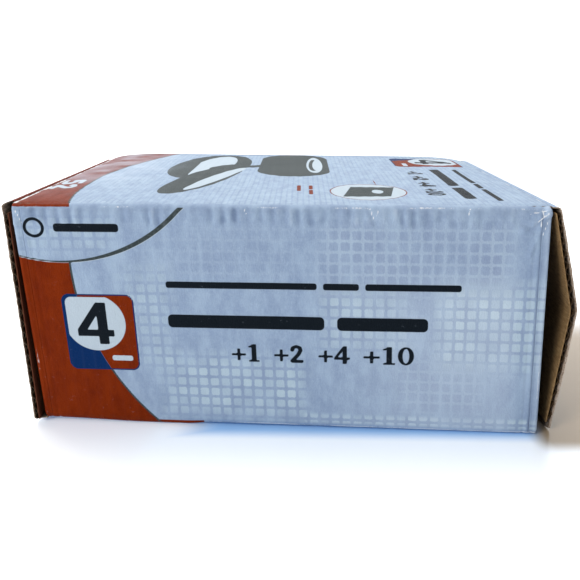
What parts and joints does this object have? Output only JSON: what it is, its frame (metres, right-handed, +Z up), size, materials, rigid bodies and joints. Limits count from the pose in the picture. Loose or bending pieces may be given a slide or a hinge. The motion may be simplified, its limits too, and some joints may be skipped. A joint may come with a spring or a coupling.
{
  "type": "close-up lens set in a printed carton",
  "caption": "Closed printed corrugated carton with hinged tuck ends, holding a soft wallet of threaded close-up lenses.",
  "frame": {"origin": "centre of the carton's underside, on the surface that it stands on", "axes": "+Z up; the printed front faces -Y; +X along the carton, towards the end whose panel hangs from the top"},
  "size_m": [0.1479, 0.101, 0.062],
  "materials": {
    "printed_liner": "gloss-laminated printed white paper",
    "kraft_liner": "uncoated brown kraft",
    "fluting": "uncoated recycled fluting",
    "black_metal": "black anodised",
    "lens_glass": "polished",
    "nylon": "woven black nylon",
    "hook_and_loop": "napped black hook-and-loop"
  },
  "bodies": {
    "carton": {"front_wall_outer_liner": "printed_liner", "front_wall_medium": "fluting", "front_wall_inner_liner": "kraft_liner", "back_wall_outer_liner": "printed_liner", "back_wall_medium": "fluting", "back_wall_inner_liner": "kraft_liner", "top_wall_outer_liner": "printed_liner", "top_wall_medium": "fluting", "top_wall_inner_liner": "kraft_liner", "bottom_wall_outer_liner": "printed_liner", "bottom_wall_medium": "fluting", "bottom_wall_inner_liner": "kraft_liner", "glue_flap": "fluting"},
    "right_end": {"right_end_outer_liner": "printed_liner", "right_end_medium": "fluting", "right_end_inner_liner": "kraft_liner"},
    "right_tab": {"right_tab_outer_liner": "printed_liner", "right_tab_medium": "fluting", "right_tab_inner_liner": "kraft_liner"},
    "right_front_flap": {"right_front_flap_outer_liner": "printed_liner", "right_front_flap_medium": "fluting", "right_front_flap_inner_liner": "kraft_liner"},
    "right_back_flap": {"right_back_flap_outer_liner": "printed_liner", "right_back_flap_medium": "fluting", "right_back_flap_inner_liner": "kraft_liner"},
    "left_end": {"left_end_outer_liner": "printed_liner", "left_end_medium": "fluting", "left_end_inner_liner": "kraft_liner"},
    "left_tab": {"left_tab_outer_liner": "printed_liner", "left_tab_medium": "fluting", "left_tab_inner_liner": "kraft_liner"},
    "left_front_flap": {"left_front_flap_outer_liner": "printed_liner", "left_front_flap_medium": "fluting", "left_front_flap_inner_liner": "kraft_liner"},
    "left_back_flap": {"left_back_flap_outer_liner": "printed_liner", "left_back_flap_medium": "fluting", "left_back_flap_inner_liner": "kraft_liner"},
    "wallet": {"wallet_base": "nylon", "wallet_spine": "nylon", "wallet_front": "nylon", "loop_strip": "hook_and_loop", "plus_4_pocket": "nylon", "plus_10_pocket": "nylon", "plus_4_ring": "black_metal", "plus_4_glass": "lens_glass", "plus_4_retainer": "black_metal", "plus_10_ring": "black_metal", "plus_10_glass": "lens_glass", "plus_10_retainer": "black_metal"},
    "wallet_cover": {"wallet_cover": "nylon", "wallet_strap": "nylon", "hook_strip": "hook_and_loop", "plus_1_pocket": "nylon", "plus_2_pocket": "nylon", "plus_1_ring": "black_metal", "plus_1_glass": "lens_glass", "plus_1_retainer": "black_metal", "plus_2_ring": "black_metal", "plus_2_glass": "lens_glass", "plus_2_retainer": "black_metal"}
  },
  "joints": [
    {"name": "right_end_hinge", "type": "hinge", "parent": "carton", "child": "right_end", "pos_m": [0.0691, 0, 0.0612], "axis": [0, -1, 0], "range_deg": [0, 180]},
    {"name": "right_tab_fold", "type": "hinge", "parent": "right_end", "child": "right_tab", "pos_m": [0.0732, 0, 0.0009], "axis": [0, -1, 0], "range_deg": [0, 108]},
    {"name": "right_front_flap_hinge", "type": "hinge", "parent": "carton", "child": "right_front_flap", "pos_m": [0.0667, -0.0497, 0.031], "axis": [0, 0, -1], "range_deg": [0, 72]},
    {"name": "right_back_flap_hinge", "type": "hinge", "parent": "carton", "child": "right_back_flap", "pos_m": [0.0667, 0.0497, 0.031], "axis": [0, 0, 1], "range_deg": [0, 72]},
    {"name": "left_end_hinge", "type": "hinge", "parent": "carton", "child": "left_end", "pos_m": [-0.0684, 0, 0.0008], "axis": [0, -1, 0], "range_deg": [0, 88]},
    {"name": "left_tab_fold", "type": "hinge", "parent": "left_end", "child": "left_tab", "pos_m": [-0.0704, 0, 0.0611], "axis": [0, -1, 0], "range_deg": [0, 53]},
    {"name": "left_front_flap_hinge", "type": "hinge", "parent": "carton", "child": "left_front_flap", "pos_m": [-0.0667, -0.0497, 0.031], "axis": [0, 0, 1], "range_deg": [0, 36]},
    {"name": "left_back_flap_hinge", "type": "hinge", "parent": "carton", "child": "left_back_flap", "pos_m": [-0.0667, 0.0497, 0.031], "axis": [0, 0, -1], "range_deg": [0, 36]},
    {"name": "wallet_slide", "type": "slide", "parent": "carton", "child": "wallet", "axis": [1, 0, 0], "range_m": [-0.006, 0.0025]},
    {"name": "wallet_cover_hinge", "type": "hinge", "parent": "wallet", "child": "wallet_cover", "pos_m": [-0.001, 0.037, 0.029], "axis": [-1, 0, 0], "range_deg": [0, 16]}
  ],
  "couplings": [
    {"joint": "right_tab_fold", "follows": "right_end_hinge", "ratio": 0.6},
    {"joint": "right_front_flap_hinge", "follows": "right_end_hinge", "ratio": 0.4},
    {"joint": "right_back_flap_hinge", "follows": "right_end_hinge", "ratio": 0.4},
    {"joint": "left_tab_fold", "follows": "left_end_hinge", "ratio": 0.6},
    {"joint": "left_front_flap_hinge", "follows": "left_end_hinge", "ratio": 0.4},
    {"joint": "left_back_flap_hinge", "follows": "left_end_hinge", "ratio": 0.4}
  ]
}
